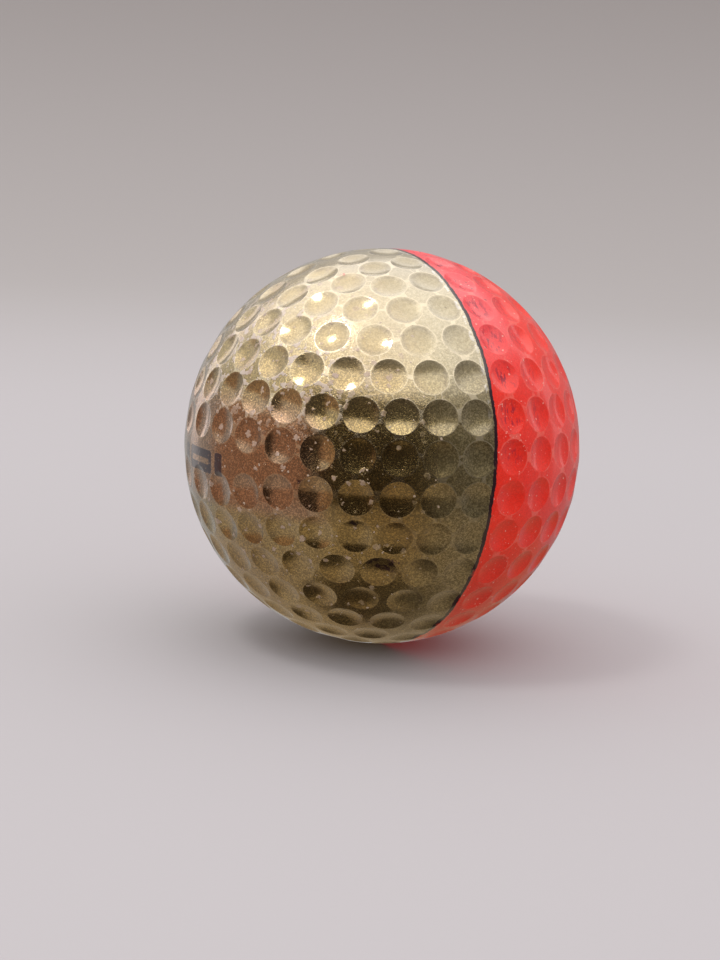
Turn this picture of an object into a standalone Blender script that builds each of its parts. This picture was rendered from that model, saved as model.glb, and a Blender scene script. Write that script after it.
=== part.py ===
"""Wound golf ball: a filled rubber centre, two rubber windings and a two-colour dimpled cover.

The origin is the centre of the ball. +X points to the middle of the red cover half and -X to the middle
of the gold one, so the halves meet on the plane x = 0. +Z is the axis of the rows of dimples.
Every piece keeps CLEARANCE to its neighbour.
"""
import math

import bmesh
import bpy
from mathutils import Matrix, Vector

# Whole ball, in metres
BALL_RADIUS = 0.021335
CLEARANCE = 0.0003

# Wall of each layer, from the outside in
COVER_WALL = 0.0017
THREAD_WALL = 0.0038
TAPE_WALL = 0.0013
SACK_WALL = 0.0019

# Cover cups
SEAM_SEGMENTS = 48
BOWL_STEPS = 10

# Dimple rows of one quarter turn, from the equator to the pole: how many dimples, latitude of the
# row's two ends in degrees, how far its middle drops in degrees, and the size of its dimples
DIMPLE_ROWS = (
    (8, 5.6, 0.0, 1.0),
    (8, 16.7, 0.0, 1.0),
    (7, 27.9, 0.2, 1.0),
    (6, 39.2, 0.9, 1.0),
    (5, 50.3, 1.8, 1.0),
    (4, 61.4, 3.2, 1.0),
    (3, 72.3, 4.9, 0.92),
    (1, 82.1, 0.0, 1.0),
)
BAND_TO_DIMPLE = math.radians(5.7)    # from the middle of a bare band to the first dimple's centre
DIMPLE_RIM = math.radians(5.0)        # from a dimple's centre to its rim
DIMPLE_DEPTH = 0.00036
RIM_POINTS = 8
FLOOR_RING = 0.55                     # where the dish's inner ring lies, as a share of the rim angle

# The rows open up around the middle of each half, which leaves a smooth panel there
PANEL_OPENING = math.radians(3.8)
PANEL_START = math.radians(50.0)
PANEL_FADE = math.radians(60.0)

# Windings: one strip laid pole to pole
THREAD_TURNS = 12
TAPE_TURNS = 8
STEPS_PER_TURN = 24
WINDING_POLE_HOLE = math.radians(1.0)

# Centre
SACK_SEGMENTS = 28
SACK_STEPS = 7
PLUG_RADIUS = 0.0012
PLUG_EDGE = 0.0002

# Radii that follow from the walls
COVER_INNER = BALL_RADIUS - COVER_WALL
THREAD_OUTER = COVER_INNER - CLEARANCE
THREAD_INNER = THREAD_OUTER - THREAD_WALL
TAPE_OUTER = THREAD_INNER - CLEARANCE
TAPE_INNER = TAPE_OUTER - TAPE_WALL
SACK_OUTER = TAPE_INNER - CLEARANCE
SACK_INNER = SACK_OUTER - SACK_WALL
FLUID_RADIUS = SACK_INNER - CLEARANCE


def clear_scene():
    for item in list(bpy.data.objects):
        bpy.data.objects.remove(item, do_unlink=True)


def material(name, colour, roughness, metallic=0.0):
    made = bpy.data.materials.new(name)
    made.use_nodes = True
    shader = made.node_tree.nodes["Principled BSDF"]
    shader.inputs["Base Color"].default_value = (*colour, 1.0)
    shader.inputs["Roughness"].default_value = roughness
    shader.inputs["Metallic"].default_value = metallic
    return made


def add_piece(name, bm, look, smooth_angle=30.0):
    """Turn a bmesh into the object of one piece, faces out."""
    bmesh.ops.recalc_face_normals(bm, faces=bm.faces)
    mesh = bpy.data.meshes.new(name)
    bm.to_mesh(mesh)
    bm.free()
    mesh.materials.append(look)
    mesh.shade_smooth()
    mesh.set_sharp_from_angle(angle=math.radians(smooth_angle))
    piece = bpy.data.objects.new(name, mesh)
    bpy.context.collection.objects.link(piece)
    return piece


# Dimple layout ------------------------------------------------------------------------------------

def direction(latitude, longitude):
    """Unit vector: longitude 0 is the seam plane's -Y side, and 90 degrees is +X."""
    flat = math.cos(latitude)
    return Vector((flat * math.sin(longitude), -flat * math.cos(longitude), math.sin(latitude)))


def smooth_step(value):
    value = min(max(value, 0.0), 1.0)
    return value * value * (3.0 - 2.0 * value)


def octant_dimples():
    """Latitude, longitude and rim angle of the dimples in one eighth of the ball."""
    quarter = math.pi / 2
    for count, row_latitude, drop, size in DIMPLE_ROWS:
        row_end = math.radians(row_latitude)
        first = math.asin(min(math.sin(BAND_TO_DIMPLE) / math.cos(row_end), math.sin(quarter / 2)))
        for place in range(count):
            along = place / (count - 1) if count > 1 else 0.0
            longitude = first + along * (quarter - 2 * first)
            latitude = row_end - math.radians(drop) * math.sin(math.pi * along)
            opening = smooth_step((longitude - PANEL_START) / (quarter - PANEL_START))
            latitude += PANEL_OPENING * opening * max(1.0 - latitude / PANEL_FADE, 0.0)
            yield latitude, longitude, size * DIMPLE_RIM


def half_dimples(side):
    """Centre and rim angle of each dimple of one cover half: side is 1 for +X and -1 for -X."""
    for latitude, longitude, rim_angle in octant_dimples():
        centre = direction(latitude, longitude)
        for y_sign in (1, -1):
            for z_sign in (1, -1):
                yield Vector((side * centre.x, y_sign * centre.y, z_sign * centre.z)), rim_angle


def circle_directions(centre, angle):
    """Unit vectors of points on a small circle around a dimple's centre."""
    across = centre.orthogonal().normalized()
    along = centre.cross(across)
    for point in range(RIM_POINTS):
        turn = 2 * math.pi * point / RIM_POINTS
        outward = math.cos(turn) * across + math.sin(turn) * along
        yield math.cos(angle) * centre + math.sin(angle) * outward


# Pieces -------------------------------------------------------------------------------------------

def add_ring(bm, distance, radius):
    """Ring of points around the X axis, the given distance along it."""
    turns = [2 * math.pi * point / SEAM_SEGMENTS for point in range(SEAM_SEGMENTS)]
    return [bm.verts.new((distance, radius * math.cos(turn), radius * math.sin(turn))) for turn in turns]


def join_rings(bm, ring, other):
    for corners in zip(ring, ring[1:] + ring[:1], other[1:] + other[:1], other):
        bm.faces.new(corners)


def close_ring(bm, ring, tip):
    """Fan of triangles from a ring to one point."""
    tip_vert = bm.verts.new(tip)
    for vert, following in zip(ring, ring[1:] + ring[:1]):
        bm.faces.new((vert, following, tip_vert))


def add_dimpled_dome(bm, side):
    """Outer skin of a cup, with its edge ring returned.

    It is made on the unit sphere and then scaled. The land between the dimples is the hull of all the
    rims, and each rim holds a dish.
    """
    owner = {}
    rims = []
    for centre, rim_angle in half_dimples(side):
        rim = [bm.verts.new(way) for way in circle_directions(centre, rim_angle)]
        rims.append((centre, rim_angle, rim))
        for vert in rim:
            owner[vert] = len(rims)
    lip = math.asin(CLEARANCE / 2 / BALL_RADIUS)
    edge_ring = add_ring(bm, side * math.sin(lip), math.cos(lip))
    for vert in edge_ring:
        owner[vert] = 0
    owner[bm.verts.new((side, 0.0, 0.0))] = len(rims) + 1

    bmesh.ops.convex_hull(bm, input=bm.verts, use_existing_faces=False)
    lids = [face for face in bm.faces if len({owner[vert] for vert in face.verts}) == 1]
    bmesh.ops.delete(bm, geom=lids, context="FACES_ONLY")
    loose = [edge for edge in bm.edges if not edge.link_faces]
    bmesh.ops.delete(bm, geom=loose, context="EDGES")

    depth = DIMPLE_DEPTH / BALL_RADIUS
    floor_radius = 1.0 - depth * (1.0 - FLOOR_RING ** 2)
    for centre, rim_angle, rim in rims:
        ways = circle_directions(centre, FLOOR_RING * rim_angle)
        floor_ring = [bm.verts.new(floor_radius * way) for way in ways]
        join_rings(bm, rim, floor_ring)
        close_ring(bm, floor_ring, (1.0 - depth) * centre)
    bmesh.ops.scale(bm, vec=(BALL_RADIUS, BALL_RADIUS, BALL_RADIUS), verts=bm.verts)
    return edge_ring


def add_bowl(bm, side):
    """Inner skin of a cup, from its edge ring, which is returned, to its deepest point."""
    lip = math.asin(CLEARANCE / 2 / COVER_INNER)
    rings = []
    for step in range(BOWL_STEPS):
        rise = lip + (math.pi / 2 - lip) * step / BOWL_STEPS
        rings.append(add_ring(bm, side * COVER_INNER * math.sin(rise), COVER_INNER * math.cos(rise)))
    for ring, following in zip(rings, rings[1:]):
        join_rings(bm, ring, following)
    close_ring(bm, rings[-1], (side * COVER_INNER, 0.0, 0.0))
    return rings[0]


def make_cover_half(name, side, look):
    bm = bmesh.new()
    outer_edge = add_dimpled_dome(bm, side)
    inner_edge = add_bowl(bm, side)
    join_rings(bm, outer_edge, inner_edge)
    add_piece(name, bm, look, smooth_angle=12.0)


def make_winding(name, outer, inner, turns, turn_to_axis, look):
    """One strip laid round and round from pole to pole, with CLEARANCE between its turns."""
    gap = CLEARANCE / inner
    start = WINDING_POLE_HOLE
    pitch = (math.pi - 2 * start) / (turns + 1)
    width = pitch - gap
    steps = turns * STEPS_PER_TURN
    lift = 1.0 / (math.cos(width / 2) * math.cos(math.pi / STEPS_PER_TURN))
    bm = bmesh.new()
    rings = []
    for step in range(steps + 1):
        turn = 2 * math.pi * step / STEPS_PER_TURN
        near = start + pitch * step / STEPS_PER_TURN
        corners = ((outer, near), (outer, near + width), (inner * lift, near + width), (inner * lift, near))
        ring = []
        for radius, tilt in corners:
            flat = radius * math.sin(tilt)
            ring.append(bm.verts.new((flat * math.cos(turn), flat * math.sin(turn), radius * math.cos(tilt))))
        rings.append(ring)
    for ring, following in zip(rings, rings[1:]):
        for corner in range(4):
            beside = (corner + 1) % 4
            bm.faces.new((ring[corner], ring[beside], following[beside], following[corner]))
    bm.faces.new(rings[0])
    bm.faces.new(rings[-1])
    bmesh.ops.transform(bm, matrix=turn_to_axis, verts=bm.verts)
    add_piece(name, bm, look)


def turned(name, profile, segments, look, side=1):
    """Solid turned about Z from a closed outline of (radius, height) points."""
    bm = bmesh.new()
    outline = [bm.verts.new((radius, 0.0, side * height)) for radius, height in profile]
    edges = [bm.edges.new(pair) for pair in zip(outline, outline[1:] + outline[:1])]
    bmesh.ops.spin(bm, geom=outline + edges, cent=(0, 0, 0), axis=(0, 0, 1), angle=2 * math.pi,
                   steps=segments, use_merge=True)
    bmesh.ops.remove_doubles(bm, verts=bm.verts, dist=1e-6)
    bmesh.ops.dissolve_degenerate(bm, edges=bm.edges, dist=1e-6)
    on_axis = [edge for edge in bm.edges if not edge.link_faces]
    bmesh.ops.delete(bm, geom=on_axis, context="EDGES")
    add_piece(name, bm, look)


def arc_points(radius, start, end):
    """(radius, height) points of an arc, its angles measured up from the equator."""
    for step in range(SACK_STEPS + 1):
        rise = start + (end - start) * step / SACK_STEPS
        yield radius * math.cos(rise), radius * math.sin(rise)


def sack_outline(hole_radius):
    """Half shell of the sack, open at its pole where hole_radius isn't zero."""
    lip = CLEARANCE / 2
    outer = arc_points(SACK_OUTER, math.asin(lip / SACK_OUTER), math.acos(hole_radius / SACK_OUTER))
    inner = arc_points(SACK_INNER, math.acos(hole_radius / SACK_INNER), math.asin(lip / SACK_INNER))
    return list(outer) + list(inner)


def make_centre(rubber, plug_rubber, paste):
    turned("centre_sack_half_upper", sack_outline(PLUG_RADIUS + CLEARANCE), SACK_SEGMENTS, rubber)
    turned("centre_sack_half_lower", sack_outline(0.0), SACK_SEGMENTS, rubber, side=-1)

    plug_outline = (
        (0.0, SACK_INNER),
        (PLUG_RADIUS - PLUG_EDGE, SACK_INNER),
        (PLUG_RADIUS, SACK_INNER + PLUG_EDGE),
        (PLUG_RADIUS, SACK_OUTER - 2 * PLUG_EDGE),
        (PLUG_RADIUS - PLUG_EDGE, SACK_OUTER - PLUG_EDGE),
        (0.0, SACK_OUTER - PLUG_EDGE),
    )
    turned("centre_sack_plug", plug_outline, SACK_SEGMENTS // 2, plug_rubber)

    bm = bmesh.new()
    bmesh.ops.create_icosphere(bm, subdivisions=3, radius=FLUID_RADIUS)
    add_piece("centre_fluid", bm, paste)


def main():
    clear_scene()
    gold = material("gold_paint", (0.46, 0.36, 0.20), 0.3, metallic=0.6)
    red = material("red_paint", (0.62, 0.03, 0.02), 0.3)
    thread_rubber = material("thread_rubber", (0.72, 0.60, 0.42), 0.7)
    tape_rubber = material("tape_rubber", (0.42, 0.30, 0.20), 0.75)
    sack_rubber = material("sack_rubber", (0.05, 0.05, 0.05), 0.8)
    plug_rubber = material("plug_rubber", (0.35, 0.08, 0.06), 0.8)
    paste = material("centre_paste", (0.62, 0.60, 0.55), 0.5)

    make_cover_half("cover_half_gold", -1, gold)
    make_cover_half("cover_half_red", 1, red)
    round_y = Matrix.Rotation(math.pi / 2, 4, "X")
    round_x = Matrix.Rotation(math.pi / 2, 4, "Y")
    make_winding("thread_winding", THREAD_OUTER, THREAD_INNER, THREAD_TURNS, round_y, thread_rubber)
    make_winding("tape_winding", TAPE_OUTER, TAPE_INNER, TAPE_TURNS, round_x, tape_rubber)
    make_centre(sack_rubber, plug_rubber, paste)


main()
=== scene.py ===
"""Painted golf ball in two colours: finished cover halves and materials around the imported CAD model.

The origin is the centre of the ball, +X the middle of the red half, -X the middle of the gold half and
+Z the axis of the rows of dimples. The two cover cups are replaced by finer ones with the same dimple
layout; the six pieces inside them keep their CAD shape and get procedural materials.
"""
import math
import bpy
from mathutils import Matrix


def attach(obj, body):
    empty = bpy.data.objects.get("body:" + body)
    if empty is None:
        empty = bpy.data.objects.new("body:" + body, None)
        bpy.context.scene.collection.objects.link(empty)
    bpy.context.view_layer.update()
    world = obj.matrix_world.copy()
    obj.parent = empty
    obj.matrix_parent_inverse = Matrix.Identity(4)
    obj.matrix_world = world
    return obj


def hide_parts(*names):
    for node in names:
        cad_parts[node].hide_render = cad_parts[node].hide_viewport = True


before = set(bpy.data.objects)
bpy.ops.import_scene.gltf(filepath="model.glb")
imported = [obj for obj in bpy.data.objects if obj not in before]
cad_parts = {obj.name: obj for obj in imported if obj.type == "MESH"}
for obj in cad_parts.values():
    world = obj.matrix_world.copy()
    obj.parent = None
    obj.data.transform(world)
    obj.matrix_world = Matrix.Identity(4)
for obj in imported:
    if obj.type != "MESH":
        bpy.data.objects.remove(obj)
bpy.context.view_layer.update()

from types import SimpleNamespace

import bmesh
import bpy
from mathutils import Euler, Matrix, Vector

# Sizes are in metres, and colours are linear red, green and blue
BALL_RADIUS = 0.021335
COVER_INNER = 0.019635                # radius of the inside of the cups
HALF_SEAM_GAP = 0.000005              # from the seam's plane to the edge of each cup

# Dimple rows of one quarter turn, from the equator to the pole: how many dimples, latitude of the
# row's two ends in degrees, how far its middle drops in degrees, and the size of its dimples
DIMPLE_ROWS = (
    (8, 5.6, 0.0, 1.0),
    (8, 16.7, 0.0, 1.0),
    (7, 27.9, 0.2, 1.0),
    (6, 39.2, 0.9, 1.0),
    (5, 50.3, 1.8, 1.0),
    (4, 61.4, 3.2, 1.0),
    (3, 72.3, 4.9, 0.92),
    (1, 82.1, 0.0, 1.0),
)
BAND_TO_DIMPLE = math.radians(5.7)    # from the seam to the centre of a row's first dimple
DIMPLE_RIM = math.radians(5.0)        # from a dimple's centre to its rim
PANEL_OPENING = math.radians(3.8)     # how far the rows part round the smooth panel amid each half
PANEL_START = math.radians(50.0)      # longitude where they begin to part
PANEL_FADE = math.radians(60.0)       # latitude where they no longer do

# Dish of a dimple: depth, how softly it leaves the land, and where its rings lie between rim and centre
DIMPLE_DEPTH = 0.00036
RIM_SOFTNESS = 0.09
DISH_RINGS = (0.985, 0.965, 0.94, 0.90, 0.82, 0.68, 0.50, 0.30)
RIM_POINTS = 32
SLOPE_STEP = 0.002                    # share of the rim over which a dish's slope is measured
LAND_SPACING = math.radians(1.35)
LAND_MARGIN = math.radians(0.5)
HEX_PACKING = 0.866                   # area of a point's cell on the land, in squares of the spacing
NEAR_DIMPLE = 0.9                     # dot product under which a dimple is too far off to matter
SEAM_SEGMENTS = 256
BOWL_STEPS = 24
SHARP_ANGLE = math.radians(60.0)
RIM_REACH = math.radians(0.45)        # how far the rim's wear reaches over the land

# Painted line between the colours, in ball radii: it leans a little across the seam of the cups
LINE_AT_EQUATOR = -0.014
LINE_LEAN = 0.020
LINE_HALF_WIDTH = 0.0110
LINE_SHAKE = 0.018
LINE_DRIFT = 0.020

# Camera, as fitted to the dimples in the photo; CAMERA_TURN is about its own axes
CAMERA_AZIMUTH = math.radians(-33.23)
CAMERA_ELEVATION = math.radians(8.70)
CAMERA_DISTANCE = 10.52 * BALL_RADIUS
CAMERA_TURN = (math.radians(-0.941), math.radians(0.602), math.radians(2.979))
CAMERA_LENS = 77.6
SENSOR = 36.0

# Size of the features in the paint, from its slowest change of colour to its flakes
BROAD_SIZE = 0.009
BLOTCH_SIZE = 0.0022
GRAIN_SIZE = 0.00035
FLAKE_SIZE = 0.00012
CHIP_SIZE, FLECK_SIZE, CRUMB_SIZE = 0.0007, 0.0011, 0.0006
STREAK_SIZE, PINHOLE_SIZE, SMEAR_SIZE = 0.0017, 0.0015, 0.0021
SPECK_SIZE, SCRATCH_SIZE, DUST_SIZE, POWDER_SIZE = 0.0008, 0.00040, 0.00060, 0.00028

# Wavy edge of a speck: waves in a cell, how far they bend it in cells, and how sharp it is
SPECK_WAVES, SPECK_BEND, SPECK_EDGE = 3.0, 0.55, 12.0

# Relief of the paint, and of the lacquer over it
FLAKE_RELIEF, GRAIN_RELIEF, BLOTCH_RELIEF, SPLASH_RELIEF = 0.000012, 0.000018, 0.00006, 0.00003
COAT_WAVE, COAT_RELIEF, COAT_GRAIN = 0.0011, 0.00004, 0.000006

# Where the gold is dull, paler and powdery with a painted highlight, and browner as a painted reflection,
# in ball radii towards the red half and towards the top
DULL_EAST, CHALK_AND_HIGHLIGHT_UP, CHALK_AND_HIGHLIGHT_EAST = (-0.50, -0.12), (0.15, 0.75), (-0.95, -0.30)
BROWN_REFLECTION_EAST, BROWN_REFLECTION_ABOVE, BROWN_REFLECTION_BELOW = (-0.58, -0.71), (0.40, 0.22), (-0.27, -0.19)

# Colours of the gold paint and of what is worn, splashed or smeared on it; its brown is a painted
# reflection, and its pale top and lip are partly a painted highlight
GOLD_PALE, GOLD_DEEP, GOLD_BLOTCH = (0.410, 0.310, 0.135), (0.340, 0.240, 0.092), (0.23, 0.13, 0.05)
GOLD_PAINTED_BROWN_REFLECTION = (0.42, 0.245, 0.160)
GOLD_MATT = ((0.235, 0.195, 0.105), (0.31, 0.265, 0.155))
GOLD_CHALK_AND_PAINTED_HIGHLIGHT = ((0.60, 0.53, 0.39), (0.72, 0.65, 0.50))
GOLD_TOP = (0.44, 0.39, 0.31)
GOLD_LIP_AND_PAINTED_HIGHLIGHT = (0.78, 0.68, 0.50)
CHIP, FLECK, CRUMB = (0.56, 0.46, 0.42), (0.43, 0.31, 0.26), (0.54, 0.42, 0.35)
STREAK, PINHOLE, SMEAR = (0.50, 0.12, 0.10), (0.04, 0.025, 0.015), (0.05, 0.02, 0.03)
SMUDGE, SILVER = (0.070, 0.024, 0.045), (0.74, 0.71, 0.68)

# Colours of the red paint and of the marks on it; its pink is partly a painted reflection and its rubbed
# rims partly a painted highlight
RED_BRIGHT, RED_DEEP, RED_GRAIN = (0.84, 0.030, 0.015), (0.73, 0.020, 0.011), (0.78, 0.10, 0.07)
RED_PINK_AND_PAINTED_REFLECTION, RED_RUB_AND_PAINTED_HIGHLIGHT = (0.82, 0.085, 0.115), (0.84, 0.26, 0.21)
RED_SPECK, RED_SCRATCH = (0.12, 0.02, 0.03), (0.25, 0.008, 0.035)
RED_DUST, RED_POWDER = (0.85, 0.42, 0.36), (0.86, 0.36, 0.32)

LINE_COLOUR, MARK_COLOUR, DISH_DARKENING = (0.022, 0.008, 0.014), (0.020, 0.008, 0.016), (0.07, 0.042, 0.018)

# Ink mark and smudge on the gold half, in ball radii
MARK_CENTRE = (0.09, -0.037)
MARK_HALF_HEIGHT = 0.058
SMUDGE_CENTRE = (-0.455, -0.775, -0.425)

# Floor that sweeps up into a wall, with its paper's colour close by and the painted shade that darkens it
# far off and up the wall
SWEEP_FLAT = 0.44
SWEEP_CURVE = 0.20
SWEEP_TOP = 0.9
SWEEP_STEPS = 12
SWEEP_SEGMENTS = 96
PAPER_NEAR = ((0.40, 0.385, 0.41), (0.43, 0.41, 0.435))
PAPER_FAR_PAINTED_SHADE = (0.33, 0.31, 0.315)
PAPER_WALL_PAINTED_SHADE = (0.235, 0.210, 0.208)

# Lamp: turn from the camera to its left, rise, distance, width, watts and colour
LAMP_TURN = math.radians(68.0)
LAMP_RISE = math.radians(64.0)
LAMP_DISTANCE = 0.6
LAMP_SIZE = 0.13
LAMP_POWER = 0.65
LAMP_COLOUR = (1.0, 0.97, 0.92)

# Light of the room around the ball
WALL_RIGHT, WALL_LEFT = (0.32, 0.305, 0.305), (0.40, 0.385, 0.37)
ROOM_FRONT, BROWN_PATCH, WINDOW = (0.032, 0.023, 0.016), (0.40, 0.25, 0.175), (0.85, 0.83, 0.77)
TABLE_FRONT, TABLE_LEFT, UNDERSIDE = (0.36, 0.275, 0.175), (0.47, 0.400, 0.345), (0.06, 0.045, 0.03)
OVERHEAD, BACKDROP = (1.86, 1.79, 1.70), (0.45, 0.43, 0.43)
SOFT_BELOW, SOFT_ABOVE = (0.32, 0.28, 0.26), (1.35, 1.31, 1.28)
# Heights, from -1 straight below to 1 straight above, between which each part of the room fades in
UNDERSIDE_HEIGHT, TABLE_HEIGHT, STRIP_HEIGHT = (-0.86, -0.97), (-0.38, -0.48), (-0.36, 0.22)
WINDOW_HEIGHT, OVERHEAD_HEIGHT = (0.20, 0.34), (0.50, 0.67)
# Tall bright strips behind the ball: turn from the camera to its left, half width and colour
STRIPS = (
    (math.radians(137.0), 0.09, (1.5, 1.36, 1.31)),
    (math.radians(-122.0), 0.07, (1.4, 1.32, 1.32)),
)


# Dimple layout ------------------------------------------------------------------------------------

def direction(latitude, longitude):
    """Unit vector: longitude 0 is the seam plane's -Y side, and 90 degrees is +X."""
    flat = math.cos(latitude)
    return Vector((flat * math.sin(longitude), -flat * math.cos(longitude), math.sin(latitude)))


def smooth_step(value):
    """Smooth change from 0 to 1, flat at both ends."""
    value = min(max(value, 0.0), 1.0)
    return value * value * (3.0 - 2.0 * value)


def octant_dimples():
    """Latitude, longitude and rim angle of the dimples in one eighth of the ball."""
    quarter = math.pi / 2
    for count, row_latitude, drop, size in DIMPLE_ROWS:
        row_end = math.radians(row_latitude)
        first = math.asin(min(math.sin(BAND_TO_DIMPLE) / math.cos(row_end), math.sin(quarter / 2)))
        for place in range(count):
            along = place / (count - 1) if count > 1 else 0.0
            longitude = first + along * (quarter - 2 * first)
            latitude = row_end - math.radians(drop) * math.sin(math.pi * along)
            opening = smooth_step((longitude - PANEL_START) / (quarter - PANEL_START))
            latitude += PANEL_OPENING * opening * max(1.0 - latitude / PANEL_FADE, 0.0)
            yield latitude, longitude, size * DIMPLE_RIM


def half_dimples(side):
    """Centre and rim angle of each dimple of one cover half: side is 1 for +X and -1 for -X."""
    for latitude, longitude, rim_angle in octant_dimples():
        centre = direction(latitude, longitude)
        for y_sign in (1, -1):
            for z_sign in (1, -1):
                yield Vector((side * centre.x, y_sign * centre.y, z_sign * centre.z)), rim_angle


# Cover cups ---------------------------------------------------------------------------------------

class CupBuilder:
    """Collects the points of one cover half with their normals and what the paint needs to know."""

    def __init__(self, side):
        self.side = side
        self.bm = bmesh.new()
        self.normals = []
        self.rim = []        # 1 on a dimple's rim, 0 away from it
        self.dish = []       # 0 on the land, 1 at a dimple's centre
        self.owner = []      # a dimple's number on its points, -1 on rings and bowl, 0 on the land

    def add(self, point, normal, rim, dish, owner=0):
        vert = self.bm.verts.new(point)
        vert.index = len(self.normals)
        self.normals.append(normal)
        self.rim.append(rim)
        self.dish.append(dish)
        self.owner.append(owner)
        return vert

    def ring(self, distance, radius, normal_out):
        """Ring of points around the X axis, the given distance along it."""
        ring = []
        for place in range(SEAM_SEGMENTS):
            turn = 2 * math.pi * place / SEAM_SEGMENTS
            point = Vector((distance, radius * math.cos(turn), radius * math.sin(turn)))
            ring.append(self.add(point, point.normalized() if normal_out else None, 0.0, 0.0, -1))
        return ring


def dish_depth(share):
    """Depth of a dish, 0 to 1, at a share of the way from its centre to its rim, with a soft edge."""
    inside = max(1.0 - share * share, 0.0)
    full = 1.0 / (1.0 + RIM_SOFTNESS)
    return inside * inside / (inside + RIM_SOFTNESS) / full


def dish_slope(share):
    """How dish_depth changes with the share."""
    before, after = share - SLOPE_STEP, min(share + SLOPE_STEP, 1.0)
    return (dish_depth(after) - dish_depth(before)) / (after - before)


def add_circle(cup, centre, rim_angle, share, owner):
    """Points of one ring of a dish, at a share of the rim angle from its centre."""
    across = centre.orthogonal().normalized()
    along = centre.cross(across)
    angle = share * rim_angle
    depth = DIMPLE_DEPTH / BALL_RADIUS
    radius = 1.0 - depth * dish_depth(share)
    fall = -depth * dish_slope(share) / rim_angle if share < 1.0 else 0.0
    ring = []
    for place in range(RIM_POINTS):
        turn = 2 * math.pi * place / RIM_POINTS
        outward = math.cos(turn) * across + math.sin(turn) * along
        way = math.cos(angle) * centre + math.sin(angle) * outward
        tangent = -math.sin(angle) * centre + math.cos(angle) * outward
        normal = (radius * way - fall * tangent).normalized()
        edge = max(1.0 - (1.0 - share) * rim_angle / RIM_REACH, 0.0)
        ring.append(cup.add(radius * way, normal, edge, dish_depth(share), owner))
    return ring


def join_rings(bm, ring, other):
    """Band of faces between two rings with as many points."""
    for corners in zip(ring, ring[1:] + ring[:1], other[1:] + other[:1], other):
        bm.faces.new(corners)


def close_ring(bm, ring, tip):
    """Fan of faces from a ring to one point."""
    for vert, following in zip(ring, ring[1:] + ring[:1]):
        bm.faces.new((vert, following, tip))


def land_points(side, dimples):
    """Evenly spread directions between the dimples, with each one's gap to the nearest rim."""
    total = int(4 * math.pi / (LAND_SPACING ** 2 * HEX_PACKING))
    golden = math.pi * (3.0 - math.sqrt(5.0))
    for place in range(total):
        height = 1.0 - 2.0 * (place + 0.5) / total
        flat = math.sqrt(1.0 - height * height)
        point = Vector((flat * math.cos(golden * place), flat * math.sin(golden * place), height))
        if side * point.x < math.sin(LAND_MARGIN):
            continue
        gaps = [math.acos(min(point.dot(centre), 1.0)) - rim for centre, rim in dimples
                if point.dot(centre) > NEAR_DIMPLE]
        gap = min(gaps, default=1.0)
        if gap > LAND_MARGIN:
            yield point, gap


def add_cover_skin(cup):
    """Dimpled outer skin of a cup; its edge ring is returned.

    The land between the dimples is the hull of all the rims and land points, without the lids that the
    hull lays over the dimples and the cup's mouth, and each rim holds a dish.
    """
    dimples = list(half_dimples(cup.side))
    rims = []
    for number, (centre, rim_angle) in enumerate(dimples, 1):
        rims.append(add_circle(cup, centre, rim_angle, 1.0, number))
    for point, gap in land_points(cup.side, dimples):
        cup.add(point, point, max(1.0 - gap / RIM_REACH, 0.0), 0.0)
    lip = math.asin(HALF_SEAM_GAP / BALL_RADIUS)
    edge_ring = cup.ring(cup.side * math.sin(lip), math.cos(lip), True)

    bm = cup.bm
    bmesh.ops.convex_hull(bm, input=bm.verts, use_existing_faces=False)
    lids = [face for face in bm.faces
            if cup.owner[face.verts[0].index] != 0
            and len({cup.owner[vert.index] for vert in face.verts}) == 1]
    bmesh.ops.delete(bm, geom=lids, context="FACES_ONLY")
    bmesh.ops.delete(bm, geom=[edge for edge in bm.edges if not edge.link_faces], context="EDGES")

    for number, ((centre, rim_angle), rim) in enumerate(zip(dimples, rims), 1):
        outer = rim
        for share in DISH_RINGS:
            inner = add_circle(cup, centre, rim_angle, share, number)
            join_rings(bm, outer, inner)
            outer = inner
        bottom = (1.0 - DIMPLE_DEPTH / BALL_RADIUS) * centre
        close_ring(bm, outer, cup.add(bottom, centre, 0.0, 1.0, number))
    bmesh.ops.scale(bm, vec=(BALL_RADIUS,) * 3, verts=bm.verts)
    return edge_ring


def add_bowl(cup):
    """Inner skin of a cup, from its edge ring, which is returned, to its deepest point."""
    lip = math.asin(HALF_SEAM_GAP / COVER_INNER)
    rings = []
    for step in range(BOWL_STEPS):
        rise = lip + (math.pi / 2 - lip) * step / BOWL_STEPS
        distance, radius = COVER_INNER * math.sin(rise), COVER_INNER * math.cos(rise)
        rings.append(cup.ring(cup.side * distance, radius, False))
    for ring, following in zip(rings, rings[1:]):
        join_rings(cup.bm, ring, following)
    close_ring(cup.bm, rings[-1], cup.add((cup.side * COVER_INNER, 0.0, 0.0), None, 0.0, 0.0, -1))
    return rings[0]


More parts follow.
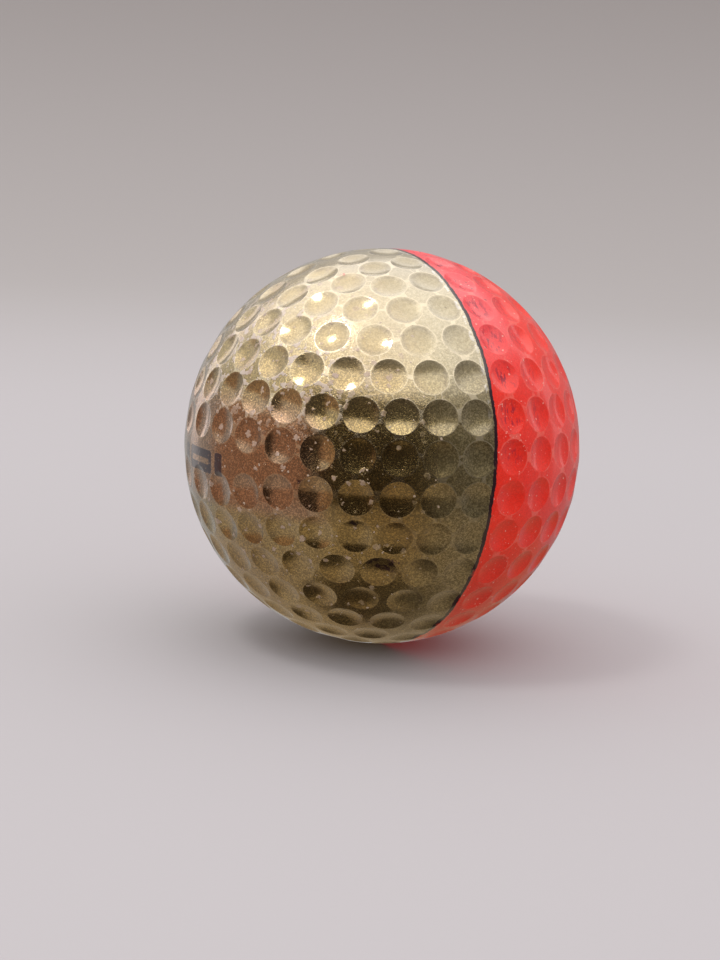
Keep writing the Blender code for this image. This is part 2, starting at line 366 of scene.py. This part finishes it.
def make_cover_half(name, side, paint):
    """One closed cover cup, with the exact normals of its dishes and land."""
    cup = CupBuilder(side)
    outer_edge = add_cover_skin(cup)
    inner_edge = add_bowl(cup)
    join_rings(cup.bm, outer_edge, inner_edge)
    open_edges = [edge for edge in cup.bm.edges if len(edge.link_faces) == 1]
    bmesh.ops.holes_fill(cup.bm, edges=open_edges, sides=0)    # slivers the hull leaves between rims
    bmesh.ops.recalc_face_normals(cup.bm, faces=cup.bm.faces)
    mesh = bpy.data.meshes.new(name)
    cup.bm.to_mesh(mesh)
    cup.bm.free()
    mesh.materials.append(paint)
    mesh.shade_smooth()
    mesh.set_sharp_from_angle(angle=SHARP_ANGLE)
    for attribute, values in (("rim", cup.rim), ("dish", cup.dish)):
        mesh.attributes.new(attribute, "FLOAT", "POINT").data.foreach_set("value", values)

    automatic = Vector((0.0, 0.0, 0.0))
    loop_normals = [automatic] * len(mesh.loops)
    for face in mesh.polygons:
        if all(cup.normals[vertex] is not None for vertex in face.vertices):
            for loop, vertex in zip(face.loop_indices, face.vertices):
                loop_normals[loop] = cup.normals[vertex]
    mesh.normals_split_custom_set(loop_normals)
    piece = bpy.data.objects.new(name, mesh)
    bpy.context.collection.objects.link(piece)
    return piece


# Material nodes -----------------------------------------------------------------------------------

class Graph:
    """Shader nodes of one material or world. Every method but feed returns a node or its outputs."""

    def __init__(self, tree):
        self.tree = tree

    def node(self, kind, **settings):
        made = self.tree.nodes.new("ShaderNode" + kind)
        for key, value in settings.items():
            setattr(made, key, value)
        return made

    def feed(self, socket, value):
        if isinstance(value, bpy.types.NodeSocket):
            self.tree.links.new(value, socket)
        elif isinstance(value, tuple) and len(value) == 3 and len(socket.default_value) == 4:
            socket.default_value = (*value, 1.0)
        else:
            socket.default_value = value

    def math(self, operation, *values, clamp=False):
        made = self.node("Math", operation=operation, use_clamp=clamp)
        for socket, value in zip(made.inputs, values):
            self.feed(socket, value)
        return made.outputs[0]

    def multiply(self, first, *others):
        for other in others:
            first = self.math("MULTIPLY", first, other)
        return first

    def vector(self, operation, *values):
        made = self.node("VectorMath", operation=operation)
        for socket, value in zip(made.inputs, values):
            self.feed(socket, value)
        return made.outputs["Value" if operation in ("DOT_PRODUCT", "LENGTH") else "Vector"]

    def scaled(self, where, factor):
        made = self.node("VectorMath", operation="SCALE")
        self.feed(made.inputs[0], where)
        self.feed(made.inputs["Scale"], factor)
        return made.outputs["Vector"]

    def ramp(self, value, start, end, low=0.0, high=1.0):
        """Smooth change from low to high as the value goes from start to end."""
        made = self.node("MapRange", interpolation_type="SMOOTHSTEP")
        for socket, number in zip(made.inputs, (value, start, end, low, high)):
            self.feed(socket, number)
        return made.outputs[0]

    def mix(self, factor, first, second, blend="MIX"):
        made = self.node("Mix", data_type="RGBA", blend_type=blend)
        self.feed(made.inputs[0], factor)
        self.feed(made.inputs[6], first)
        self.feed(made.inputs[7], second)
        return made.outputs[2]

    def blend_values(self, factor, first, second):
        made = self.node("Mix", data_type="FLOAT")
        for socket, value in zip(made.inputs[0:1] + made.inputs[2:4], (factor, first, second)):
            self.feed(socket, value)
        return made.outputs[0]

    def noise(self, where, size, detail=3.0, roughness=0.55, distortion=0.0):
        """Noise value with features of about the given size in metres."""
        made = self.node("TexNoise")
        self.feed(made.inputs["Vector"], where)
        for name, value in (("Scale", 1.0 / size), ("Detail", detail), ("Roughness", roughness),
                            ("Distortion", distortion)):
            made.inputs[name].default_value = value
        return made.outputs[0]

    def cells(self, where, size):
        """Voronoi cells of about the given size in metres: distance to the centre and random colour."""
        made = self.node("TexVoronoi")
        self.feed(made.inputs["Vector"], where)
        made.inputs["Scale"].default_value = 1.0 / size
        return made.outputs["Distance"], made.outputs["Color"]

    def split(self, value):
        made = self.node("SeparateXYZ")
        self.feed(made.inputs[0], value)
        return made.outputs[:]

    def specks(self, where, size, share, biggest):
        """Scattered spots with a wavy edge: a cell's size, share of cells with one, radius in cells."""
        wobble = self.node("TexNoise")
        self.feed(wobble.inputs["Vector"], where)
        wobble.inputs["Scale"].default_value = SPECK_WAVES / size
        bent = self.vector("ADD", where, self.scaled(wobble.outputs["Color"], size * SPECK_BEND))
        distance, colour = self.cells(bent, size)
        pick, radius, _ = self.split(colour)
        chosen = self.math("LESS_THAN", pick, share)
        radius = self.math("MULTIPLY_ADD", radius, biggest * 0.7, biggest * 0.3)
        spot = self.math("MULTIPLY", self.math("SUBTRACT", radius, distance), SPECK_EDGE, clamp=True)
        return self.multiply(spot, chosen)

    def attribute(self, name):
        return self.node("Attribute", attribute_name=name).outputs["Fac"]

    def bump(self, height, depth, strength=1.0, over=None):
        """Bump whose height of 1 stands for the given depth in metres."""
        made = self.node("Bump")
        self.feed(made.inputs["Strength"], strength)
        made.inputs["Distance"].default_value = depth
        self.feed(made.inputs["Height"], height)
        if over is not None:
            self.feed(made.inputs["Normal"], over)
        return made.outputs[0]


def new_material(name):
    made = bpy.data.materials.new(name)
    made.use_nodes = True
    return made, Graph(made.node_tree), made.node_tree.nodes["Principled BSDF"]


def rounded_bar(graph, across, up, centre, half_width, half_height, corner):
    """1 inside a rounded bar drawn on the ball, from the two coordinates given."""
    beside = graph.math("SUBTRACT", graph.math("ABSOLUTE", graph.math("SUBTRACT", across, centre[0])),
                        half_width - corner)
    above = graph.math("SUBTRACT", graph.math("ABSOLUTE", graph.math("SUBTRACT", up, centre[1])),
                       half_height - corner)
    joined = graph.node("CombineXYZ")
    graph.feed(joined.inputs[0], graph.math("MAXIMUM", beside, 0.0))
    graph.feed(joined.inputs[1], graph.math("MAXIMUM", above, 0.0))
    outside = graph.vector("LENGTH", joined.outputs[0])
    return graph.ramp(outside, corner, corner - 0.003)


def paint_facts(graph):
    """What the paint knows at each point: its place, the dimple it is in and the noises they share.

    east is 1 in the middle of the red half and -1 in the middle of the gold half, and up is 1 at the top.
    """
    where = graph.node("TexCoord").outputs["Object"]
    unit = graph.scaled(where, 1.0 / BALL_RADIUS)
    east, north, up = graph.split(unit)
    flake, flake_tilt, _ = graph.split(graph.cells(where, FLAKE_SIZE)[1])
    return SimpleNamespace(
        where=where, unit=unit, east=east, north=north, up=up,
        rim=graph.attribute("rim"), dish=graph.attribute("dish"),
        broad=graph.noise(where, BROAD_SIZE, 2.0),
        blotch=graph.noise(where, BLOTCH_SIZE, 4.0, 0.6),
        grain=graph.noise(where, GRAIN_SIZE, 3.0, 0.6),
        flake=flake, flake_tilt=flake_tilt,
    )


def gold_paint(graph, at):
    """Flake gold: browner amid its half as a painted reflection, dull near the seam, and paler and powdery
    towards the top, partly as a painted highlight.

    Its colour, metalness and roughness are returned.
    """
    gold = graph.mix(graph.ramp(at.broad, 0.35, 0.65), GOLD_PALE, GOLD_DEEP)
    gold = graph.mix(graph.ramp(at.blotch, 0.5, 0.8, 0.0, 0.5), gold, GOLD_BLOTCH)
    toward_seam = graph.ramp(at.east, *DULL_EAST)
    toward_top = graph.multiply(graph.ramp(at.up, *CHALK_AND_HIGHLIGHT_UP), graph.ramp(at.east, *CHALK_AND_HIGHLIGHT_EAST, 0.55, 1.0))
    # Painted reflection of brown surroundings: the gold is browner amid its half, around mid-height
    uneven_east = graph.math("ADD", at.east, graph.multiply(at.broad, 0.25))
    brown = graph.multiply(graph.ramp(uneven_east, *BROWN_REFLECTION_EAST), graph.ramp(at.up, *BROWN_REFLECTION_ABOVE),
                           graph.ramp(at.up, *BROWN_REFLECTION_BELOW))
    gold = graph.mix(graph.multiply(brown, 0.75), gold, GOLD_PAINTED_BROWN_REFLECTION)
    matt = graph.mix(graph.ramp(at.grain, 0.3, 0.7), *GOLD_MATT)
    gold = graph.mix(graph.multiply(toward_seam, 0.8), gold, matt)
    # Paler, powdery paint towards the top, partly a painted highlight of the light above; more on the land
    # than in the dishes
    chalk_and_painted_highlight = graph.mix(graph.ramp(at.grain, 0.3, 0.7), *GOLD_CHALK_AND_PAINTED_HIGHLIGHT)
    chalk_and_painted_highlight = graph.mix(graph.ramp(at.up, 0.78, 0.97, 0.0, 0.85), chalk_and_painted_highlight, GOLD_TOP)
    chalk_and_highlight_share = graph.multiply(toward_top, graph.ramp(at.dish, 0.05, 0.6, 0.60, 0.34))
    gold = graph.mix(chalk_and_highlight_share, gold, chalk_and_painted_highlight)

    glitter = graph.ramp(graph.math("POWER", at.flake, 1.6), 0.0, 1.0, 0.70, 1.50)
    glitter = graph.blend_values(toward_top, glitter, graph.ramp(at.flake, 0.0, 1.0, 0.90, 1.10))
    metal = graph.blend_values(toward_seam, 0.97, 0.78)
    metal = graph.blend_values(toward_top, metal, 0.50)
    rough = graph.blend_values(toward_seam, 0.17, 0.36)
    return graph.scaled(gold, glitter), metal, rough


def wear_gold(graph, at, gold):
    """Gold with worn rims that partly carry a painted highlight, and chips, splashes, red streaks,
    pinholes and smears.

    The colour is returned, and where something pale stands on the paint.
    """
    # Paler worn rims, partly a painted highlight that is stronger towards the top
    lip = graph.multiply(graph.ramp(at.rim, 0.72, 0.98), graph.ramp(at.blotch, 0.30, 0.50, 0.35, 1.0),
                         graph.ramp(at.up, -0.35, 0.35, 0.14, 0.55))
    gold = graph.mix(lip, gold, GOLD_LIP_AND_PAINTED_HIGHLIGHT)
    chip_zone = graph.multiply(graph.ramp(at.east, -0.45, -0.80), graph.ramp(at.up, 0.05, 0.45))
    chips = graph.multiply(graph.ramp(at.dish, 0.10, 0.02),
                           graph.ramp(graph.noise(at.where, CHIP_SIZE, 3.0, 0.5), 0.54, 0.58), chip_zone)
    gold = graph.mix(graph.multiply(chips, 0.8), gold, CHIP)

    west = graph.math("MULTIPLY", at.east, -1.0)
    fleck_zone = graph.ramp(graph.math("MULTIPLY_ADD", at.blotch, 0.5, west), 0.45, 0.95)
    flecks = graph.multiply(graph.specks(at.where, FLECK_SIZE, 0.55, 0.38), fleck_zone)
    gold = graph.mix(graph.multiply(flecks, graph.ramp(at.grain, 0.3, 0.6, 0.35, 0.9)), gold, FLECK)
    crumbs = graph.multiply(graph.specks(at.where, CRUMB_SIZE, 0.30, 0.26), graph.ramp(at.east, 0.0, -0.4))
    gold = graph.mix(graph.multiply(crumbs, 0.9), gold, CRUMB)

    drawn_out = graph.vector("MULTIPLY", at.where, (1.0, 1.0, 0.4))
    streaks = graph.multiply(graph.specks(drawn_out, STREAK_SIZE, 0.10, 0.22),
                             graph.ramp(at.up, -0.1, 0.2), graph.ramp(at.east, -0.15, -0.40),
                             graph.ramp(at.blotch, 0.40, 0.55))
    gold = graph.mix(graph.multiply(streaks, 0.8), gold, STREAK)
    gold = graph.mix(graph.specks(at.where, PINHOLE_SIZE, 0.10, 0.12), gold, PINHOLE)
    smears = graph.multiply(graph.specks(at.where, SMEAR_SIZE, 0.05, 0.30),
                            graph.ramp(at.blotch, 0.45, 0.55))
    gold = graph.mix(smears, gold, SMEAR)

    to_smudge = graph.vector("SUBTRACT", at.unit, SMUDGE_CENTRE)
    smudge_distance = graph.vector("LENGTH", graph.vector("MULTIPLY", to_smudge, (1.0, 1.0, 2.2)))
    smudge = graph.multiply(graph.ramp(smudge_distance, 0.100, 0.075),
                            graph.ramp(graph.noise(at.where, 0.0010, 3.0), 0.47, 0.53))
    gold = graph.mix(graph.multiply(smudge, 0.85), gold, SMUDGE)
    return gold, graph.math("MAXIMUM", graph.math("MAXIMUM", flecks, crumbs), chips)


def red_paint(graph, at):
    """Gloss red, pink and scuffed near the top of the seam, the pink partly a painted reflection, with
    scratches, dust and rubbed rims that are partly a painted highlight.
    """
    red = graph.mix(graph.ramp(at.broad, 0.3, 0.7), RED_BRIGHT, RED_DEEP)
    red = graph.mix(graph.ramp(at.grain, 0.5, 0.8, 0.0, 0.3), red, RED_GRAIN)
    # Pinker towards the top of the seam, partly a painted reflection of the light above
    pink_and_reflection_zone = graph.multiply(graph.ramp(at.up, 0.35, 0.85), graph.ramp(at.east, 0.42, 0.10))
    red = graph.mix(graph.multiply(pink_and_reflection_zone, 0.7), red, RED_PINK_AND_PAINTED_REFLECTION)
    specks = graph.multiply(graph.specks(at.where, SPECK_SIZE, 0.35, 0.30), pink_and_reflection_zone)
    red = graph.mix(specks, red, RED_SPECK)
    red = graph.scaled(red, graph.ramp(at.flake, 0.0, 1.0, 0.92, 1.07))
    drawn_out = graph.vector("MULTIPLY", at.where, (1.0, 0.5, 0.35))
    scratched = graph.ramp(graph.noise(drawn_out, SCRATCH_SIZE, 4.0, 0.6), 0.52, 0.59)
    scratches = graph.multiply(scratched, at.dish, graph.ramp(at.east, 0.40, 0.15),
                               graph.ramp(at.up, -0.1, 0.3))
    red = graph.mix(graph.multiply(scratches, 0.85), red, RED_SCRATCH)
    dust = graph.multiply(graph.specks(at.where, DUST_SIZE, 0.55, 0.22), 0.75)
    red = graph.mix(dust, red, RED_DUST)
    powder = graph.multiply(graph.specks(at.where, POWDER_SIZE, 0.5, 0.30),
                            graph.ramp(at.blotch, 0.42, 0.62), graph.ramp(at.east, 0.45, 0.05, 0.25, 0.8))
    red = graph.mix(powder, red, RED_POWDER)
    # Paler rubbed rims, partly a painted highlight
    rub_and_painted_highlight = graph.multiply(graph.ramp(at.rim, 0.6, 1.0), graph.ramp(at.blotch, 0.40, 0.58))
    return graph.mix(graph.multiply(rub_and_painted_highlight, 0.32), red, RED_RUB_AND_PAINTED_HIGHLIGHT)


def painted_line(graph, at):
    """Where the red paint is, where the dark line is, and the silvery worn edge along the line."""
    line_at = graph.math("MULTIPLY_ADD", at.up, LINE_LEAN, LINE_AT_EQUATOR)
    offset = graph.math("SUBTRACT", at.east, line_at)
    fast, slow = graph.noise(at.where, 0.0005, 4.0, 0.7), graph.noise(at.where, 0.0040, 2.0)
    shake = graph.math("MULTIPLY_ADD", fast, LINE_SHAKE, -LINE_SHAKE / 2)
    drift = graph.math("MULTIPLY_ADD", slow, LINE_DRIFT, -LINE_DRIFT / 2)
    offset = graph.math("ADD", offset, graph.math("ADD", shake, drift))
    is_red = graph.ramp(offset, -0.001, 0.001)
    on_line = graph.ramp(graph.math("ABSOLUTE", offset), LINE_HALF_WIDTH, LINE_HALF_WIDTH - 0.003)
    on_line = graph.multiply(on_line, graph.ramp(at.blotch, 0.28, 0.40, 0.55, 1.0))
    beside_line = graph.math("ABSOLUTE", graph.math("ADD", offset, 2.0 * LINE_HALF_WIDTH))
    silver = graph.multiply(graph.ramp(beside_line, 0.011, 0.003), graph.ramp(at.up, 0.10, 0.55),
                            graph.ramp(graph.noise(at.where, 0.0008, 3.0), 0.46, 0.56))
    return is_red, on_line, silver


def ink_mark(graph, at):
    """Generic mark near the middle of the gold half: a bar with a slot, and a short block at each end."""
    bar = rounded_bar(graph, at.north, at.up, MARK_CENTRE, 0.125, MARK_HALF_HEIGHT, 0.02)
    slot = rounded_bar(graph, at.north, at.up, MARK_CENTRE, 0.100, 0.016, 0.012)
    ends = [(MARK_CENTRE[0] + end * 0.185, MARK_CENTRE[1]) for end in (-1, 1)]
    blocks = [rounded_bar(graph, at.north, at.up, end, 0.032, MARK_HALF_HEIGHT, 0.014) for end in ends]
    mark = graph.math("MAXIMUM", graph.math("SUBTRACT", bar, slot), graph.math("MAXIMUM", *blocks))
    patchy = graph.ramp(at.grain, 0.30, 0.42, 0.4, 1.0)
    return graph.multiply(mark, graph.ramp(at.east, -0.85, -0.9), patchy)


def cover_paint(name, gloss):
    """Hand-painted cover: flake gold, gloss red, the dark line between them and an ink mark."""
    made, graph, shader = new_material(name)
    at = paint_facts(graph)
    gold, gold_metal, gold_rough = gold_paint(graph, at)
    gold, splash = wear_gold(graph, at, gold)
    is_red, on_line, silver = painted_line(graph, at)
    gold = graph.mix(graph.multiply(silver, 0.7), gold, SILVER)
    mark = ink_mark(graph, at)

    colour = graph.mix(is_red, gold, red_paint(graph, at))
    colour = graph.mix(on_line, colour, LINE_COLOUR)
    colour = graph.mix(mark, colour, MARK_COLOUR)
    # Darker in a patchy ring inside each dish, more on the gold than on the red
    dish_darkening = graph.multiply(graph.ramp(at.dish, 0.02, 0.16), graph.ramp(at.dish, 0.62, 0.24),
                          graph.ramp(at.blotch, 0.38, 0.60), graph.blend_values(is_red, 0.28, 0.06))
    colour = graph.mix(dish_darkening, colour, DISH_DARKENING)
    painted = graph.math("MAXIMUM", graph.math("MAXIMUM", on_line, mark), is_red)
    gold_metal = graph.blend_values(splash, gold_metal, 0.1)
    rough = graph.blend_values(is_red, gold_rough, graph.ramp(at.grain, 0.3, 0.7, 0.28, 0.42))

    # Flakes tilt the gold, both paints have a fine skin and a slow unevenness, and splashes stand proud
    flake_height = graph.multiply(at.flake_tilt, graph.blend_values(painted, 1.0, 0.15))
    normal = graph.bump(flake_height, FLAKE_RELIEF, 0.55)
    normal = graph.bump(at.grain, GRAIN_RELIEF, 0.6, over=normal)
    normal = graph.bump(at.blotch, BLOTCH_RELIEF, 0.5, over=normal)
    normal = graph.bump(splash, SPLASH_RELIEF, 0.8, over=normal)
    coat_normal = graph.bump(graph.noise(at.where, COAT_WAVE, 2.0), COAT_RELIEF, 0.5)
    coat_normal = graph.bump(at.grain, COAT_GRAIN, 0.5, over=coat_normal)

    graph.feed(shader.inputs["Base Color"], colour)
    graph.feed(shader.inputs["Metallic"], graph.blend_values(painted, gold_metal, 0.0))
    graph.feed(shader.inputs["Roughness"], rough)
    graph.feed(shader.inputs["Normal"], normal)
    graph.feed(shader.inputs["Coat Normal"], coat_normal)
    shader.inputs["Specular IOR Level"].default_value = 0.25
    shader.inputs["Coat Weight"].default_value = gloss
    shader.inputs["Coat Roughness"].default_value = 0.05
    return made


def rubber(name, dark, light, strand, roughness, stretch=(1.0, 1.0, 1.0)):
    """Rubber with drawn strands, darker patches and fine pores: strand is the strands' size in metres."""
    made, graph, shader = new_material(name)
    where = graph.node("TexCoord").outputs["Object"]
    stretched = graph.vector("MULTIPLY", where, stretch)
    strands = graph.noise(stretched, strand, 4.0, 0.6)
    patches = graph.noise(where, strand * 9, 3.0)
    pores, _ = graph.cells(where, strand * 0.8)
    colour = graph.mix(graph.ramp(strands, 0.35, 0.68), dark, light)
    darker = tuple(0.6 * part for part in dark)
    colour = graph.mix(graph.ramp(patches, 0.5, 0.75, 0.0, 0.4), colour, darker)
    graph.feed(shader.inputs["Base Color"], colour)
    rough = graph.ramp(strands, 0.3, 0.7, roughness - 0.08, roughness + 0.1)
    graph.feed(shader.inputs["Roughness"], rough)
    normal = graph.bump(strands, strand * 0.25, 0.7)
    graph.feed(shader.inputs["Normal"], graph.bump(pores, strand * 0.1, 0.4, over=normal))
    return made


# Stage --------------------------------------------------------------------------------------------

def flat_direction(azimuth):
    """Level unit vector from the ball towards a camera at this azimuth."""
    return Vector((math.sin(azimuth), -math.cos(azimuth), 0.0))


def make_camera():
    level = math.cos(CAMERA_ELEVATION)
    towards = level * flat_direction(CAMERA_AZIMUTH) + Vector((0.0, 0.0, math.sin(CAMERA_ELEVATION)))
    data = bpy.data.cameras.new("camera")
    data.sensor_width = SENSOR
    data.lens = CAMERA_LENS
    data.clip_start = 0.01
    data.clip_end = 10.0
    camera = bpy.data.objects.new("camera", data)
    bpy.context.collection.objects.link(camera)
    aim = (-towards).to_track_quat("-Z", "Y").to_matrix().to_4x4()
    camera.matrix_world = (Matrix.Translation(CAMERA_DISTANCE * towards) @ aim
                           @ Euler(CAMERA_TURN, "XYZ").to_matrix().to_4x4())
    bpy.context.scene.camera = camera


def make_floor():
    """Round pale floor that curves up into a wall all round, so that it looks alike from every side."""
    profile = [(SWEEP_FLAT * step / SWEEP_STEPS, 0.0) for step in range(SWEEP_STEPS + 1)]
    for step in range(1, 2 * SWEEP_STEPS + 1):
        bend = math.pi / 2 * step / (2 * SWEEP_STEPS)
        profile.append((SWEEP_FLAT + SWEEP_CURVE * math.sin(bend), SWEEP_CURVE * (1 - math.cos(bend))))
    profile.append((SWEEP_FLAT + SWEEP_CURVE, SWEEP_TOP))
    bm = bmesh.new()
    line = [bm.verts.new((radius, 0.0, height - BALL_RADIUS)) for radius, height in profile]
    edges = [bm.edges.new(pair) for pair in zip(line, line[1:])]
    bmesh.ops.spin(bm, geom=line + edges, cent=(0, 0, 0), axis=(0, 0, 1), angle=2 * math.pi,
                   steps=SWEEP_SEGMENTS, use_merge=True)
    bmesh.ops.remove_doubles(bm, verts=bm.verts, dist=1e-6)
    mesh = bpy.data.meshes.new("floor")
    bm.to_mesh(mesh)
    bm.free()
    mesh.shade_smooth()
    made, graph, shader = new_material("floor_paper")
    where = graph.node("TexCoord").outputs["Object"]
    cloud = graph.noise(where, 0.25, 2.0)
    paper = graph.noise(where, 0.0012, 3.0)
    rise = graph.split(where)[2]
    # Painted shade: the paper darkens far off and up the wall
    far = graph.ramp(graph.vector("LENGTH", where), 0.12, 0.55)
    pale = graph.mix(far, graph.mix(cloud, *PAPER_NEAR), PAPER_FAR_PAINTED_SHADE)
    pale = graph.mix(graph.ramp(rise, -0.02, 0.30), pale, PAPER_WALL_PAINTED_SHADE)
    graph.feed(shader.inputs["Base Color"], pale)
    graph.feed(shader.inputs["Normal"], graph.bump(paper, 0.0001, 0.1))
    shader.inputs["Roughness"].default_value = 0.85
    mesh.materials.append(made)
    floor = bpy.data.objects.new("floor", mesh)
    bpy.context.collection.objects.link(floor)
    floor.visible_glossy = False
    floor.visible_diffuse = False
    floor.visible_shadow = False


def make_world():
    """Light by direction: bright overhead, a dim warm room on the camera's side, pale walls elsewhere.

    What the ball reflects has all of it, diffuse light has only a soft change from below to above, and the
    camera sees one plain tone.
    """
    world = bpy.data.worlds.new("studio")
    world.use_nodes = True
    bpy.context.scene.world = world
    graph = Graph(world.node_tree)
    way = graph.node("TexCoord").outputs["Generated"]
    height = graph.split(way)[2]

    def toward(turn):
        """How far the ray points to a level direction, given by its turn from the camera to its left."""
        return graph.vector("DOT_PRODUCT", way, tuple(flat_direction(CAMERA_AZIMUTH - turn)))

    front = toward(0.0)
    left = toward(math.pi / 2)
    walls = graph.mix(graph.ramp(left, -0.2, 0.2), WALL_RIGHT, WALL_LEFT)
    room = graph.mix(graph.ramp(front, -0.15, 0.35), walls, ROOM_FRONT)
    patch = graph.multiply(graph.ramp(left, 0.58, 0.72), graph.ramp(front, -0.45, -0.25))
    room = graph.mix(patch, room, BROWN_PATCH)
    window = graph.multiply(graph.ramp(left, 0.58, 0.76), graph.ramp(height, *WINDOW_HEIGHT),
                            graph.ramp(front, -0.92, -0.66))
    room = graph.mix(window, room, WINDOW)
    table = graph.mix(graph.ramp(left, 0.2, 0.7), TABLE_FRONT, TABLE_LEFT)
    room = graph.mix(graph.ramp(height, *TABLE_HEIGHT), room, table)
    room = graph.mix(graph.ramp(height, *UNDERSIDE_HEIGHT), room, UNDERSIDE)
    for turn, half_width, colour in STRIPS:
        aside = graph.math("ABSOLUTE", toward(turn + math.pi / 2))
        strip = graph.multiply(graph.ramp(aside, half_width + 0.04, half_width),
                               graph.ramp(toward(turn), 0.0, 0.3), graph.ramp(height, *STRIP_HEIGHT))
        room = graph.mix(strip, room, colour)
    seen = graph.mix(graph.ramp(height, *OVERHEAD_HEIGHT), room, OVERHEAD)
    soft = graph.mix(graph.ramp(height, -0.6, 0.8), SOFT_BELOW, SOFT_ABOVE)
    path = graph.node("LightPath")
    light = graph.mix(path.outputs["Is Diffuse Ray"], seen, soft)
    light = graph.mix(path.outputs["Is Camera Ray"], light, BACKDROP)
    graph.feed(world.node_tree.nodes["Background"].inputs["Color"], light)


def make_lights():
    """One soft lamp above, on the camera's left."""
    data = bpy.data.lights.new("overhead", "AREA")
    data.shape = "DISK"
    data.size = LAMP_SIZE
    data.energy = LAMP_POWER
    data.color = LAMP_COLOUR
    lamp = bpy.data.objects.new("overhead", data)
    bpy.context.collection.objects.link(lamp)
    towards = flat_direction(CAMERA_AZIMUTH - LAMP_TURN) * math.cos(LAMP_RISE)
    towards.z = math.sin(LAMP_RISE)
    aim = (-towards).to_track_quat("-Z", "Y").to_matrix().to_4x4()
    lamp.matrix_world = Matrix.Translation(LAMP_DISTANCE * towards) @ aim


# The object ---------------------------------------------------------------------------------------

def make_covers():
    """Both cover halves, each in place of its CAD node."""
    for node, slot, side, gloss in (("cover_half_gold", "gold_paint", -1, 1.0),
                                    ("cover_half_red", "red_paint", 1, 0.5)):
        cover = make_cover_half(node.replace("half", "finish"), side, cover_paint(slot + "_finish", gloss))
        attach(cover, "root")
        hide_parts(node)


def dress_inner_pieces():
    """Rubber and paste for the six CAD pieces inside the cover."""
    tan = rubber("thread_rubber_finish", dark=(0.42, 0.28, 0.14), light=(0.74, 0.58, 0.38),
                 strand=0.00022, roughness=0.62, stretch=(1.0, 0.12, 1.0))
    brown = rubber("tape_rubber_finish", dark=(0.17, 0.10, 0.055), light=(0.36, 0.24, 0.14),
                   strand=0.0003, roughness=0.68, stretch=(0.15, 1.0, 1.0))
    black = rubber("sack_rubber_finish", dark=(0.018, 0.017, 0.016), light=(0.055, 0.052, 0.05),
                   strand=0.0004, roughness=0.74)
    brick = rubber("plug_rubber_finish", dark=(0.20, 0.045, 0.03), light=(0.36, 0.10, 0.07),
                   strand=0.00025, roughness=0.70)
    paste = rubber("centre_paste_finish", dark=(0.46, 0.44, 0.39), light=(0.68, 0.66, 0.60),
                   strand=0.0009, roughness=0.50)
    looks = {"thread_winding": tan, "tape_winding": brown, "centre_sack_half_upper": black,
             "centre_sack_half_lower": black, "centre_sack_plug": brick, "centre_fluid": paste}
    for node, look in looks.items():
        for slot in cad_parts[node].material_slots:
            slot.material = look


bpy.context.scene.view_settings.view_transform = "Standard"
make_covers()
dress_inner_pieces()
make_floor()
make_world()
make_lights()
make_camera()
